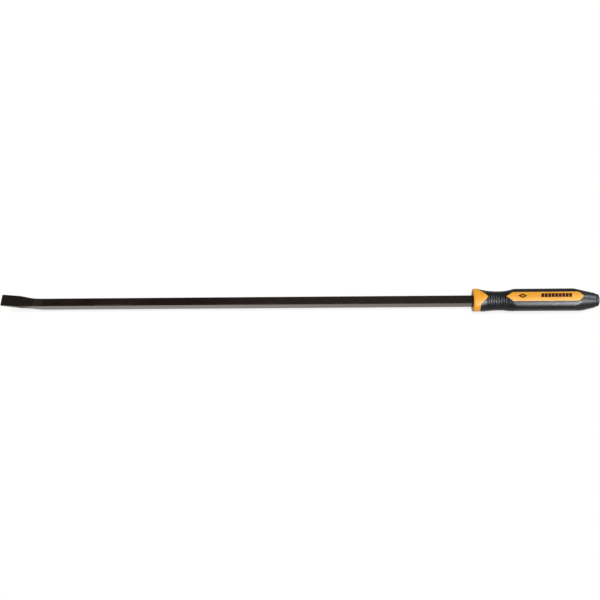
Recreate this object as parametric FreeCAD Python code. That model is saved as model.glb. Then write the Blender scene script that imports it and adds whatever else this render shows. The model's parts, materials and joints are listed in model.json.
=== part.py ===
"""Long pry bar: a forged square bar with a curved chisel tip, and a moulded handle with a strike cap.

The tool lies along X, with the chisel tip at -X and the strike cap at +X. The tip curves up towards +Z
and the handle's window faces +Z. The origin is on the ground under the middle of the tool: Z = 0 is the
lowest line of the handle's collar. Sizes are in millimetres.

Stations along the handle are distances behind the collar's front face. Stations along the tip are
distances from the tip's end.
"""
import FreeCAD, Part
import math
import os

# Overall
TOOL_LENGTH = 1473.0
HANDLE_LENGTH = 301.4

# Square shank, its slightly slimmer seat in the handle, and the tang that goes on to the butt
SHANK_SIDE = 22.2
SHANK_CORNER = 2.5
SEAT_SIDE = 21.8
SEAT_CORNER = 2.3
SEAT_ENDS_AT = 62.0
TANG_SIDE = 16.5
TANG_CORNER = 2.0
TANG_ENDS_AT = 286.5
SPIGOT_RADIUS = 7.5
SPIGOT_ENDS_AT = 296.5
KEY_NOTCH_STATIONS = (110.0, 220.0)
KEY_NOTCH_LENGTH = 12.0
KEY_NOTCH_DEPTH = 1.6

# Chisel tip
TIP_EDGE_THICKNESS = 3.2
TIP_EDGE_CORNER = 0.6
TIP_WIDTH = 29.5
TIP_END_WIDTH = 28.1
TIP_END_ROUNDING = 1.2
FLARE_STARTS_AT = 78.0
FLARE_ENDS_AT = 42.0
# The lower face turns up steeply at the heel and flattens again towards the edge
HEEL_STARTS_AT = 105.0
HEEL_ENDS_AT = 66.0
HEEL_RISE = 0.50
SOLE_STARTS_AT = 62.0
SOLE_ENDS_AT = 40.0
SOLE_RISE = 0.31
# The upper face turns up once, less steeply
TOP_BEND_STARTS_AT = 100.0
TOP_BEND_ENDS_AT = 72.0
TOP_RISE = 0.18
LAND_LENGTH = 14.0
SECTION_STEP = 8.0

# Three-lobed handle: a lobe points straight down, and the flat between the other two faces up
LOBES = 3
OUTLINE_POINTS = 36
COLLAR_LENGTH = 16.0
COLLAR_RADIUS = 28.0
COLLAR_LOBE = 2.3
COLLAR_EDGE = 1.6
MOUTH_SIDE = 25.4
MOUTH_CORNER = 4.0
MOUTH_DEPTH = 4.0
BODY_RADIUS = 27.2
BODY_LOBE = 2.1
WAIST_RADIUS = 24.0
WAIST_LOBE = 0.1
BODY_STARTS_AT = 102.0
# Station, mean radius and lobe height of the grip's sections from the collar to the full body
WAIST_SECTIONS = (
    (COLLAR_LENGTH, 27.0, 1.8),
    (26.0, 26.2, 0.5),
    (38.0, 25.0, WAIST_LOBE),
    (50.0, WAIST_RADIUS, WAIST_LOBE),
    (62.0, WAIST_RADIUS, WAIST_LOBE),
    (74.0, 24.6, 0.2),
    (86.0, 26.0, 0.4),
    (94.0, 26.8, 1.2),
    (BODY_STARTS_AT, BODY_RADIUS, BODY_LOBE),
)
GRIP_ENDS_AT = 293.0
CONE_END_RADIUS = 17.5
CONE_HALF_ANGLE = math.radians(13.2)

# Finger rings moulded into the waist
GROOVE_COUNT = 9
FIRST_GROOVE_AT = 33.0
GROOVE_PITCH = 5.9
GROOVE_WIDTH = 2.4
GROOVE_DEPTH = 1.2

# The core under the grip, and the two places where it comes to the surface
CORE_WAIST_RADIUS = 20.0
CORE_BODY_RADIUS = 22.0
CORE_RAMP_STARTS_AT = 84.0
CORE_RAMP_ENDS_AT = 104.0
CORE_REAR_RADIUS = 13.6
TONGUE_TIP_AT = 35.0
TONGUE_HALF_WIDTH = 19.4
TONGUE_BULGE = 0.7
WINDOW_POINT_AT = 78.2
WINDOW_FULL_AT = 94.9
WINDOW_NARROWS_AT = 249.0
WINDOW_ENDS_AT = 261.0
WINDOW_HALF_WIDTH = 12.4
WINDOW_NOSE_BULGE = 1.2
WINDOW_RECESS = 0.5
WINDOW_BORDER = 4.0
BORDER_POINT_SHARE = 1.5

# Strike cap
CAP_STARTS_AT = 294.2
CAP_RADIUS = 15.2
CAP_EDGE_ROUNDING = 4.0
CAP_HUB_RADIUS = 11.0
CAP_HUB_STARTS_AT = TANG_ENDS_AT

# Derived
TIP_X = -TOOL_LENGTH / 2
HANDLE_FRONT_X = TOOL_LENGTH / 2 - HANDLE_LENGTH
AXIS_HEIGHT = COLLAR_RADIUS + COLLAR_LOBE
X_AXIS = FreeCAD.Vector(1, 0, 0)
FAR = 60.0
FLAT_TOLERANCE = 0.01


def handle_x(station):
    """X of a station along the handle."""
    return HANDLE_FRONT_X + station


def tip_x(station):
    """X of a station along the tip."""
    return TIP_X + station


def ramp(value, start, end):
    """0 before start, 1 after end, straight between them."""
    return min(max((value - start) / (end - start), 0.0), 1.0)


def ease(value, start, end):
    """Like ramp, with soft ends."""
    t = ramp(value, start, end)
    return t * t * (3.0 - 2.0 * t)


# ---- outlines -------------------------------------------------------------------------------------

def rounded_rectangle(x, width, bottom, top, corner):
    """Wire across the tool at x: a rectangle with rounded corners."""
    y = width / 2 - corner
    low = bottom + corner
    high = top - corner
    vector = FreeCAD.Vector
    centres = ((y, low, -90), (y, high, 0), (-y, high, 90), (-y, low, 180))

    def on_corner(centre, angle):
        turn = math.radians(centre[2] + angle)
        return vector(x, centre[0] + corner * math.cos(turn), centre[1] + corner * math.sin(turn))

    edges = []
    for this, after in zip(centres, centres[1:] + centres[:1]):
        edges.append(Part.Arc(on_corner(this, 0), on_corner(this, 45), on_corner(this, 90)).toShape())
        edges.append(Part.LineSegment(on_corner(this, 90), on_corner(after, 0)).toShape())
    return Part.Wire(edges)


def lobed_outline(station, radius, lobe):
    """Closed wire across the handle. Its width is nearly the same in every direction."""
    points = []
    for i in range(OUTLINE_POINTS):
        angle = 2.0 * math.pi * i / OUTLINE_POINTS
        reach = radius - lobe * math.cos(LOBES * angle)
        slide = LOBES * lobe * math.sin(LOBES * angle)
        y = reach * math.sin(angle) + slide * math.cos(angle)
        z = reach * math.cos(angle) - slide * math.sin(angle)
        points.append(FreeCAD.Vector(handle_x(station), y, z))
    curve = Part.BSplineCurve()
    curve.interpolate(points, PeriodicFlag=True)
    return Part.Wire([curve.toShape()])


def bowed_edge(start, end, bulge):
    """Arc in the plan from start to end, bowed by bulge to the right of that direction."""
    chord = end - start
    outward = FreeCAD.Vector(chord.y, -chord.x, 0).normalize()
    middle = (start + end) * 0.5 + outward * bulge
    return Part.Arc(start, middle, end).toShape()


def tongue_outline():
    """Plan outline of the collar's pointed tongue."""
    base = handle_x(COLLAR_LENGTH / 2)
    foot = handle_x(COLLAR_LENGTH)
    tip = FreeCAD.Vector(handle_x(TONGUE_TIP_AT), 0, 0)
    left = [FreeCAD.Vector(x, TONGUE_HALF_WIDTH, 0) for x in (base, foot)]
    right = [FreeCAD.Vector(x, -TONGUE_HALF_WIDTH, 0) for x in (base, foot)]
    return Part.Wire([
        Part.LineSegment(right[0], right[1]).toShape(),
        bowed_edge(right[1], tip, TONGUE_BULGE),
        bowed_edge(tip, left[1], TONGUE_BULGE),
        Part.LineSegment(left[1], left[0]).toShape(),
        Part.LineSegment(left[0], right[0]).toShape(),
    ])


def window_outline(border=0.0):
    """Plan outline of the window: a straight-sided point in front and a blunt nose behind."""
    half = WINDOW_HALF_WIDTH + border
    front = handle_x(WINDOW_FULL_AT)
    back = handle_x(WINDOW_NARROWS_AT)
    point = FreeCAD.Vector(handle_x(WINDOW_POINT_AT - border * BORDER_POINT_SHARE), 0, 0)
    nose = FreeCAD.Vector(handle_x(WINDOW_ENDS_AT + border), 0, 0)
    left = [FreeCAD.Vector(x, half, 0) for x in (front, back)]
    right = [FreeCAD.Vector(x, -half, 0) for x in (front, back)]
    return Part.Wire([
        Part.LineSegment(point, right[0]).toShape(),
        Part.LineSegment(right[0], right[1]).toShape(),
        bowed_edge(right[1], nose, WINDOW_NOSE_BULGE),
        bowed_edge(nose, left[1], WINDOW_NOSE_BULGE),
        Part.LineSegment(left[1], left[0]).toShape(),
        Part.LineSegment(left[0], point).toShape(),
    ])


# ---- building blocks ------------------------------------------------------------------------------

def rod(start, end, radius):
    """Round solid on the handle's axis between two stations."""
    return Part.makeCylinder(radius, end - start, FreeCAD.Vector(handle_x(start), 0, 0), X_AXIS)


def cone(start, start_radius, end, end_radius):
    """Tapered round solid on the handle's axis between two stations."""
    place = FreeCAD.Vector(handle_x(start), 0, 0)
    return Part.makeCone(start_radius, end_radius, end - start, place, X_AXIS)


def square_rod(x, length, side, corner):
    """Square solid with rounded corners, centred on the axis."""
    wire = rounded_rectangle(x, side, -side / 2, side / 2, corner)
    return Part.Face(wire).extrude(X_AXIS * length)


def upward(wire):
    """Solid that rises from a plan outline at the axis."""
    return Part.Face(wire).extrude(FreeCAD.Vector(0, 0, FAR))


def handle_skin(inset=0.0):
    """Outer shape of the grip from the collar to its rear end, pulled in by inset."""
    rings = [lobed_outline(at, radius - inset, lobe) for at, radius, lobe in WAIST_SECTIONS]
    waist = Part.makeLoft(rings, True, False)
    body_ring = Part.Face(lobed_outline(BODY_STARTS_AT, BODY_RADIUS - inset, BODY_LOBE))
    body = body_ring.extrude(X_AXIS * (GRIP_ENDS_AT - BODY_STARTS_AT))
    length = GRIP_ENDS_AT - BODY_STARTS_AT
    wide = CONE_END_RADIUS + length * math.tan(CONE_HALF_ANGLE)
    taper = cone(BODY_STARTS_AT, wide - inset, GRIP_ENDS_AT, CONE_END_RADIUS - inset)
    return waist.fuse(body.common(taper))


def grip_rings(skin):
    """Ring-shaped cutters that follow the skin, kept clear of the border around the window."""
    slabs = []
    for i in range(GROOVE_COUNT):
        start = FIRST_GROOVE_AT + i * GROOVE_PITCH - GROOVE_WIDTH / 2
        slabs.append(rod(start, start + GROOVE_WIDTH, FAR))
    border = upward(window_outline(WINDOW_BORDER))
    return [slab.cut([skin, border]) for slab in slabs]


# ---- pieces ---------------------------------------------------------------------------------------

def bend(station, start, end, rise):
    """Height that a face gains at a station from a smooth bend, and from its new slope beyond it."""
    into = min(max(start - station, 0.0), start - end)
    past = max(end - station, 0.0)
    return rise * (into * into / (2.0 * (start - end)) + past)


def tip_bottom(station):
    """Height of the tip's lower face above the axis."""
    height = bend(station, HEEL_STARTS_AT, HEEL_ENDS_AT, HEEL_RISE)
    return height - bend(station, SOLE_STARTS_AT, SOLE_ENDS_AT, HEEL_RISE - SOLE_RISE) - SHANK_SIDE / 2


def tip_top(station):
    """Height of the tip's upper face above the axis."""
    height = SHANK_SIDE / 2 + bend(station, TOP_BEND_STARTS_AT, TOP_BEND_ENDS_AT, TOP_RISE)
    land = tip_bottom(0.0) + TIP_EDGE_THICKNESS
    return height + (land - height) * ease(LAND_LENGTH - station, 0.0, LAND_LENGTH)


def tip_width(station):
    """Width of the tip across the tool."""
    flare = ease(FLARE_STARTS_AT - station, 0.0, FLARE_STARTS_AT - FLARE_ENDS_AT)
    rounding = TIP_WIDTH - TIP_END_WIDTH
    rounded_end = rounding * (1.0 - ramp(station, 0.0, TIP_END_ROUNDING))
    return SHANK_SIDE + (TIP_WIDTH - SHANK_SIDE) * flare - rounded_end


def tip_section(station):
    """Cross-section of the tip."""
    corner = TIP_EDGE_CORNER + (SHANK_CORNER - TIP_EDGE_CORNER) * ease(station, 0.0, FLARE_STARTS_AT)
    return rounded_rectangle(
        tip_x(station), tip_width(station), tip_bottom(station), tip_top(station), corner)


def make_pry_bar():
    """Tip, shank, seat, tang and spigot, forged from one bar."""
    stations = [0.0, TIP_END_ROUNDING]
    while stations[-1] + SECTION_STEP < HEEL_STARTS_AT:
        stations.append(stations[-1] + SECTION_STEP)
    stations.append(HEEL_STARTS_AT)
    tip = Part.makeLoft([tip_section(station) for station in stations], True, False)

    shank_x = tip_x(HEEL_STARTS_AT)
    shank = square_rod(shank_x, HANDLE_FRONT_X - shank_x, SHANK_SIDE, SHANK_CORNER)
    seat = square_rod(HANDLE_FRONT_X, SEAT_ENDS_AT, SEAT_SIDE, SEAT_CORNER)
    tang = square_rod(handle_x(SEAT_ENDS_AT), TANG_ENDS_AT - SEAT_ENDS_AT, TANG_SIDE, TANG_CORNER)
    for station in KEY_NOTCH_STATIONS:
        for side in (1, -1):
            low = side * TANG_SIDE / 2 - KEY_NOTCH_DEPTH
            corner = FreeCAD.Vector(handle_x(station), low, -TANG_SIDE)
            tang = tang.cut(Part.makeBox(KEY_NOTCH_LENGTH, 2 * KEY_NOTCH_DEPTH, 2 * TANG_SIDE, corner))
    spigot = rod(TANG_ENDS_AT, SPIGOT_ENDS_AT, SPIGOT_RADIUS)
    return tip.fuse([shank, seat, tang, spigot]).removeSplitter()


def make_collar():
    """Lobed collar with softened edges and a square mouth that leaves a gap around the shank."""
    outline = Part.Face(lobed_outline(0.0, COLLAR_RADIUS, COLLAR_LOBE))
    collar = outline.extrude(X_AXIS * COLLAR_LENGTH)
    rims = [edge for edge in collar.Edges if edge.BoundBox.XLength < FLAT_TOLERANCE]
    collar = collar.makeChamfer(COLLAR_EDGE, rims)
    return collar.cut(square_rod(HANDLE_FRONT_X, MOUTH_DEPTH, MOUTH_SIDE, MOUTH_CORNER))


def core_body():
    """The part of the core that the grip is moulded over."""
    return rod(COLLAR_LENGTH / 2, CORE_RAMP_STARTS_AT, CORE_WAIST_RADIUS).fuse([
        cone(CORE_RAMP_STARTS_AT, CORE_WAIST_RADIUS, CORE_RAMP_ENDS_AT, CORE_BODY_RADIUS),
        rod(CORE_RAMP_ENDS_AT, WINDOW_NARROWS_AT, CORE_BODY_RADIUS),
        cone(WINDOW_NARROWS_AT, CORE_BODY_RADIUS, GRIP_ENDS_AT, CORE_REAR_RADIUS),
    ])


def make_handle_core(skin, bar, cap):
    """Hard inner moulding: collar, tongue, window and the body under the grip."""
    tongue = upward(tongue_outline()).common(skin)
    window = upward(window_outline()).common(handle_skin(WINDOW_RECESS))
    core = core_body().fuse([make_collar(), tongue, window])
    return core.cut([bar, cap]).removeSplitter()


def make_grip_sleeve(skin):
    """Soft sleeve moulded over the core, with finger rings around its waist."""
    sleeve = skin.cut([core_body(), upward(tongue_outline()), upward(window_outline())])
    for ring in grip_rings(handle_skin(GROOVE_DEPTH)):
        sleeve = sleeve.cut(ring)
    return sleeve


def make_strike_cap(bar):
    """Steel striking head pressed on the spigot, with a hub inside the core."""
    head = rod(CAP_STARTS_AT, HANDLE_LENGTH, CAP_RADIUS)
    face_x = handle_x(HANDLE_LENGTH)
    face_edge = [edge for edge in head.Edges if edge.BoundBox.XMin > face_x - FLAT_TOLERANCE]
    head = head.makeFillet(CAP_EDGE_ROUNDING, face_edge)
    hub = rod(CAP_HUB_STARTS_AT, CAP_STARTS_AT, CAP_HUB_RADIUS)
    return head.fuse(hub).removeSplitter().cut(bar)


def write_piece(name, shape):
    """Raise the piece to the ground frame and write it as one STEP file."""
    placed = shape.copy()
    placed.translate(FreeCAD.Vector(0, 0, AXIS_HEIGHT))
    box = placed.BoundBox
    print(f"{name}: valid {placed.isValid()}, solids {len(placed.Solids)}, "
          f"volume {placed.Volume / 1000:.1f} cm3, x {box.XMin:.1f} to {box.XMax:.1f}, "
          f"y {box.YMin:.1f} to {box.YMax:.1f}, z {box.ZMin:.1f} to {box.ZMax:.1f}")
    placed.exportStep(f"parts/{name}.step")


def main():
    """Build every piece and write it."""
    os.makedirs("parts", exist_ok=True)
    skin = handle_skin()
    bar = make_pry_bar()
    cap = make_strike_cap(bar)
    core = make_handle_core(skin, bar, cap)
    sleeve = make_grip_sleeve(skin)
    write_piece("pry_bar", bar)
    write_piece("handle_core", core)
    write_piece("grip_sleeve", sleeve)
    write_piece("strike_cap", cap)


main()
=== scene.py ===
"""Looks of a long pry bar: a blackened forged bar, a two-colour moulded handle and a steel strike cap.

Lengths are in metres. The tool lies along X with its chisel tip at -X. Stations along the handle are
distances behind the collar's front face, and stations along the tip are distances from the tip's end.
An angle around the handle is measured from +Z towards -Y.
"""
import json
import math

import bmesh
import bpy
from mathutils import Matrix, Vector, noise


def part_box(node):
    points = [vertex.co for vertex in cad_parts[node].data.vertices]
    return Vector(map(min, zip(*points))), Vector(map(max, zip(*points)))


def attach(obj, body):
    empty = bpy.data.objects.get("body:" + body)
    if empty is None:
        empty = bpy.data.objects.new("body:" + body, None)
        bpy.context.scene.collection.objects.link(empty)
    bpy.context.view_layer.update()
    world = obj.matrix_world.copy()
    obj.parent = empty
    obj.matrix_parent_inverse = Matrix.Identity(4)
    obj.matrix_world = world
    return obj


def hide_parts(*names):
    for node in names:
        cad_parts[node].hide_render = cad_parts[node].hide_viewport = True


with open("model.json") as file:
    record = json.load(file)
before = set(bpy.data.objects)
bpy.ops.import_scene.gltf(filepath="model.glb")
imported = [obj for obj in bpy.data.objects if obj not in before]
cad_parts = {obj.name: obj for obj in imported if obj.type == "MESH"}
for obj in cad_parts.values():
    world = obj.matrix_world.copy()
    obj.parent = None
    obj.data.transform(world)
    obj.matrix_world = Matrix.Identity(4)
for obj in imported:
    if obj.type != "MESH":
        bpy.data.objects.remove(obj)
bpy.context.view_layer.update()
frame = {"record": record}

MM = 0.001

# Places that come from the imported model
TIP_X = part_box("pry_bar")[0].x
FRONT_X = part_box("handle_core")[0].x
AXIS_Z = (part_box("strike_cap")[0].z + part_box("strike_cap")[1].z) / 2
GRIP_ENDS_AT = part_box("grip_sleeve")[1].x - FRONT_X
BUTT_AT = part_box("strike_cap")[1].x - FRONT_X
MOUNTS = {mount["name"]: mount for mount in frame["record"]["mounts"]}
SHANK_SIDE = MOUNTS["shank_upper_face"]["pos_m"][2] - MOUNTS["shank_underside"]["pos_m"][2]

# Bar
SHANK_CORNER = 2.5 * MM
SEAT_INSET = 0.2 * MM
CORNER_STEPS = 6
FLAT_STEPS = 6
TIP_STEP = 1.5 * MM
SHANK_STEP = 9.0 * MM
FIRST_STATION = 1.0 * MM
# The softened rim of the tip's end: station, and how far the section is pulled in
END_INSETS = ((0.0, 0.5 * MM), (0.15 * MM, 0.2 * MM), (0.5 * MM, 0.0))
SEAT_OVERLAP = 2.0 * MM
TIP_WIDTH = 29.5 * MM
TIP_PLAN_CORNER = 1.2 * MM
TIP_EDGE_THICKNESS = 3.2 * MM
TIP_EDGE_CORNER = 0.6 * MM
FLARE_STARTS_AT = 78.0 * MM
FLARE_ENDS_AT = 42.0 * MM
HEEL_STARTS_AT = 105.0 * MM
HEEL_ENDS_AT = 66.0 * MM
HEEL_RISE = 0.50
SOLE_STARTS_AT = 62.0 * MM
SOLE_ENDS_AT = 40.0 * MM
SOLE_RISE = 0.31
TOP_BEND_STARTS_AT = 100.0 * MM
TOP_BEND_ENDS_AT = 72.0 * MM
TOP_RISE = 0.18
LAND_LENGTH = 14.0 * MM
# Sets Blender's noise, so that the unevenness is the same each run
FORGE_SEED = 1
FORGE_ROUGHNESS = 0.16 * MM
FORGE_GRAIN = 14.0 * MM
SHANK_ROUGHNESS = 0.03 * MM

# Handle, as in the CAD, but with the collar's edge rounded instead of chamfered
LOBES = 3
COLLAR_LENGTH = 16.0 * MM
COLLAR_RADIUS = 28.0 * MM
COLLAR_LOBE = 2.3 * MM
COLLAR_EDGE = 2.2 * MM
MOUTH_SIDE = 25.4 * MM
MOUTH_CORNER = 4.0 * MM
MOUTH_DEPTH = 4.0 * MM
BODY_RADIUS = 27.2 * MM
BODY_LOBE = 2.1 * MM
WAIST_SECTIONS = (
    (COLLAR_LENGTH, 27.0 * MM, 1.8 * MM),
    (26.0 * MM, 26.2 * MM, 0.5 * MM),
    (38.0 * MM, 25.0 * MM, 0.1 * MM),
    (50.0 * MM, 24.0 * MM, 0.1 * MM),
    (62.0 * MM, 24.0 * MM, 0.1 * MM),
    (74.0 * MM, 24.6 * MM, 0.2 * MM),
    (86.0 * MM, 26.0 * MM, 0.4 * MM),
    (94.0 * MM, 26.8 * MM, 1.2 * MM),
    (102.0 * MM, BODY_RADIUS, BODY_LOBE),
)
CONE_END_RADIUS = 17.5 * MM
CONE_SLOPE = math.tan(math.radians(13.2))
CONE_BLEND = 1.2 * MM
GROOVE_COUNT = 9
FIRST_GROOVE_AT = 33.0 * MM
GROOVE_PITCH = 5.9 * MM
GROOVE_DEPTH = 1.2 * MM
BODY_EDGE_AT = 93.5 * MM
BODY_EDGE_HALF = 0.5 * MM
BODY_STEP = 0.6 * MM
BODY_STEP_GROWS = (45.0 * MM, 80.0 * MM)
TONGUE_TIP_AT = 35.0 * MM
TONGUE_HALF_WIDTH = 19.4 * MM
TONGUE_BULGE = 0.7 * MM
WINDOW_POINT_AT = 78.2 * MM
WINDOW_FULL_AT = 94.9 * MM
WINDOW_NARROWS_AT = 249.0 * MM
WINDOW_ENDS_AT = 261.0 * MM
WINDOW_HALF_WIDTH = 12.4 * MM
WINDOW_NOSE_BULGE = 1.2 * MM
WINDOW_RECESS = 0.5 * MM
WINDOW_BORDER = 4.0 * MM
# Distances from an opening's edge between which a detail fades in
BORDER_EDGE = (WINDOW_BORDER * 1.1, WINDOW_BORDER * 0.8)
RINGS_BY_WINDOW = (WINDOW_BORDER * 0.9, WINDOW_BORDER * 1.3)
RINGS_BY_TONGUE = (1.5 * MM, 3.0 * MM)
# Shares of a ring's wave between which its wall rises
GROOVE_WALL = (0.25, 0.95)
LIP_RADIUS = 0.7 * MM
LIP_DEPTH = 2.0 * MM
PARTING_RISE = 0.10 * MM
PARTING_WIDTH = 0.25 * MM
# Places across a parting line where the mesh has a row of points, in widths from its middle
PARTING_ROWS = (-2.0, -1.0, -0.5, 0.0, 0.5, 1.0, 2.0)
# The same for the lip at the sleeve's openings, in lip radii from the edge
LIP_ROWS = (0.06, 0.2, 0.42, 0.7, 1.0, 1.6, 2.6)
# Distances between the sleeve's rows of points, and where the closer rows start and end
WAIST_ROW_STEP = 0.5 * MM
EDGE_ROW_STEP = 0.25 * MM
BODY_ROW_STEP = 3.0 * MM
NOSE_ROW_STEP = 0.6 * MM
REAR_ROW_STEP = 1.5 * MM
END_ROW_STEP = 0.2 * MM
EDGE_ROWS_BEFORE = 1.0 * MM
NOSE_ROWS_BEFORE = 14.0 * MM
NOSE_ROWS_AFTER = 2.0 * MM
SLEEVE_UPPER_STEPS = 36
SLEEVE_LOWER_STEPS = 46
SLEEVE_FRONT_WALL = 3.0 * MM
SLEEVE_BACK_WALL = 4.5 * MM
MOUTH_RIM = 0.5 * MM
MOUTH_FLOOR_LAP = 1.0 * MM
COLLAR_FACE_LAP = 1.5 * MM
COLLAR_BACK_WALL = 5.0 * MM
COLLAR_STEP = 1.5 * MM
COLLAR_HALF_STEPS = 44
EDGE_STEPS = 7
SLAB_THICKNESS = 2.5 * MM
SLAB_LAP = 0.3 * MM
SLAB_STEPS = 24
SLAB_UNDER_STEPS = 4
SLAB_END_STEP = 0.5 * MM
SLAB_POINT_STEP = 0.6 * MM
TONGUE_SINK = 0.1 * MM
TONGUE_ROOT = 3.0 * MM
LEAST_HALF_WIDTH = 0.05 * MM
# The search for the angle at which the surface is a given distance to the side
SEARCH_LIMIT = math.radians(85.0)
SEARCH_STEPS = 30

# Marks printed in the window: a diamond round a dot, and a row of slanted bars
MARKS_OFF_CENTRE = -2.4 * MM
DIAMOND_AT = 117.0 * MM
DIAMOND_HALF_LENGTH = 11.0 * MM
DIAMOND_HALF_WIDTH = 6.4 * MM
DIAMOND_HOLE = 0.40
DIAMOND_DOT = 0.16
BAR_COUNT = 9
FIRST_BAR_AT = 160.0 * MM
BAR_PITCH = 8.2 * MM
BAR_WIDTH = 7.2 * MM
BAR_SLANT = 2.2 * MM
BAR_HALF_HEIGHT = 5.4 * MM
INK_RISE = 0.06 * MM
PATCH_STEPS = 4

# Strike cap
CAP_STARTS_AT = 294.2 * MM
CAP_RADIUS = 15.2 * MM
CAP_EDGE_ROUNDING = 4.0 * MM
CAP_CHAMFER = 0.3 * MM
CAP_NECK_SHARE = 0.72
CAP_SINK = 1.0 * MM
CAP_EDGE_STEPS = 9
CAP_ROW_BEFORE_EDGE = 1.0 * MM
CAP_FACE_SHARES = (0.9, 0.7, 0.5, 0.3, 0.12, 0.02)
CAP_POINTS = 96
TURNING_PITCH = 0.5 * MM

# Where the materials change: each pair says where a change starts and where it is complete.
# Along the bar from its tip, and up from the axis for its upper face
SCUFFED_END = (12.0 * MM, 1.0 * MM)
UPPER_FACE = (7.0 * MM, 10.5 * MM)
DARK_TOP_OF_TIP = (104.0 * MM, 74.0 * MM)
DARK_TIP = (68.0 * MM, 46.0 * MM)
# Painted shade: from this station to the collar the bar blends towards a darker, duller steel, in place of
# a dimmer reflection
PAINTED_SHADE_FROM = 500.0 * MM
# In front of the collar (a painted shadow of the collar on the bar), behind its front face and from the
# axis (painted shade on the collar's front face round the mouth), and in front of the cap's face
PAINTED_COLLAR_SHADOW = (9.0 * MM, 3.0 * MM)
PAINTED_COLLAR_FACE_SHADE = (1.8 * MM, 0.3 * MM)
PAINTED_COLLAR_FACE_SHADE_RADIUS = (28.0 * MM, 22.0 * MM)
WORN_CAP_FACE = (0.6 * MM, 0.1 * MM)

# Points closer than this become one, and edges bent more than this stay sharp
WELD = 0.002 * MM
SHARP_ANGLE = math.radians(38.0)


def mix(a, b, t):
    """The value between a and b at share t."""
    return a + (b - a) * t


def ramp(value, start, end):
    """0 at start, 1 at end, straight between them."""
    return min(max((value - start) / (end - start), 0.0), 1.0)


def ease(value, start, end):
    """Like ramp, with soft ends."""
    t = ramp(value, start, end)
    return t * t * (3.0 - 2.0 * t)


def spread(start, end, step):
    """Evenly spaced values from start to end, both included, at most step apart."""
    count = max(1, math.ceil((end - start) / step - 1e-9))
    return [mix(start, end, i / count) for i in range(count + 1)]


# ---- meshes ---------------------------------------------------------------------------------------

def grid_mesh(vertices, faces, rings, closed=True):
    """Adds rings of equally many points to vertices and faces, joined by quads, with flat ends."""
    first = len(vertices)
    count = len(rings[0])
    for ring in rings:
        vertices.extend(ring)
    sides = count if closed else count - 1
    for r in range(len(rings) - 1):
        for i in range(sides):
            a = first + r * count + i
            b = first + r * count + (i + 1) % count
            faces.append((a, b, b + count, a + count))
    if closed:
        last = first + (len(rings) - 1) * count
        faces.append(tuple(reversed(range(first, first + count))))
        faces.append(tuple(range(last, last + count)))


def make_piece(name, vertices, faces, slot, material, *nodes, attributes=()):
    """Mesh object that rides on the tool and stands for the CAD nodes.

    Each attribute is a name and one number per vertex for the material to read.
    """
    mesh = bpy.data.meshes.new(name)
    mesh.from_pydata([tuple(v) for v in vertices], [], faces)
    for title, values in attributes:
        mesh.attributes.new(title, "FLOAT", "POINT").data.foreach_set("value", values)
    shape = bmesh.new()
    shape.from_mesh(mesh)
    bmesh.ops.remove_doubles(shape, verts=shape.verts, dist=WELD)
    bmesh.ops.dissolve_degenerate(shape, edges=shape.edges, dist=WELD)
    bmesh.ops.recalc_face_normals(shape, faces=shape.faces)
    shape.to_mesh(mesh)
    shape.free()
    mesh.shade_smooth()
    mesh.set_sharp_from_angle(angle=SHARP_ANGLE)
    mesh.materials.append(material)
    piece = bpy.data.objects.new(name, mesh)
    bpy.context.scene.collection.objects.link(piece)
    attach(piece, "root")
    if nodes:
        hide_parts(*nodes)
    return piece


# ---- bar ------------------------------------------------------------------------------------------

def bend(station, start, end, rise):
    """Height that a face gains at a station from a smooth bend, and from its new slope beyond it."""
    into = min(max(start - station, 0.0), start - end)
    past = max(end - station, 0.0)
    return rise * (into * into / (2.0 * (start - end)) + past)


def tip_bottom(station):
    """Height of the tip's lower face above the axis."""
    height = bend(station, HEEL_STARTS_AT, HEEL_ENDS_AT, HEEL_RISE)
    return height - bend(station, SOLE_STARTS_AT, SOLE_ENDS_AT, HEEL_RISE - SOLE_RISE) - SHANK_SIDE / 2


def tip_top(station):
    """Height of the tip's upper face above the axis."""
    height = SHANK_SIDE / 2 + bend(station, TOP_BEND_STARTS_AT, TOP_BEND_ENDS_AT, TOP_RISE)
    land = tip_bottom(0.0) + TIP_EDGE_THICKNESS
    return mix(height, land, ease(LAND_LENGTH - station, 0.0, LAND_LENGTH))


def tip_width(station):
    """Width of the tip across the tool."""
    flare = ease(FLARE_STARTS_AT - station, 0.0, FLARE_STARTS_AT - FLARE_ENDS_AT)
    inside = TIP_PLAN_CORNER - min(station, TIP_PLAN_CORNER)
    rounded_end = TIP_PLAN_CORNER - math.sqrt(TIP_PLAN_CORNER ** 2 - inside ** 2)
    return mix(SHANK_SIDE, TIP_WIDTH, flare) - 2.0 * rounded_end


def bar_section(station, inset=0.0):
    """Points around the bar, each with how close it is to a corner, from 0 to 1."""
    corner = mix(TIP_EDGE_CORNER, SHANK_CORNER, ease(station, 0.0, FLARE_STARTS_AT))
    half = tip_width(station) / 2 - inset
    low = tip_bottom(station) + inset
    high = tip_top(station) - inset
    corner = min(corner, (high - low) * 0.49)
    centres = (
        (half - corner, low + corner, -90.0),
        (half - corner, high - corner, 0.0),
        (corner - half, high - corner, 90.0),
        (corner - half, low + corner, 180.0),
    )
    points = []
    for k, (y, z, turn) in enumerate(centres):
        for i in range(CORNER_STEPS + 1):
            angle = math.radians(turn + 90.0 * i / CORNER_STEPS)
            point = (y + corner * math.cos(angle), z + corner * math.sin(angle))
            points.append((point, 1.0))
        after = centres[(k + 1) % 4]
        turned = math.radians(after[2])
        goal = (after[0] + corner * math.cos(turned), after[1] + corner * math.sin(turned))
        start = points[-1][0]
        for i in range(1, FLAT_STEPS):
            t = i / FLAT_STEPS
            between = (mix(start[0], goal[0], t), mix(start[1], goal[1], t))
            points.append((between, max(0.0, 1.0 - 4.0 * min(t, 1.0 - t))))
    return points


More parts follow.
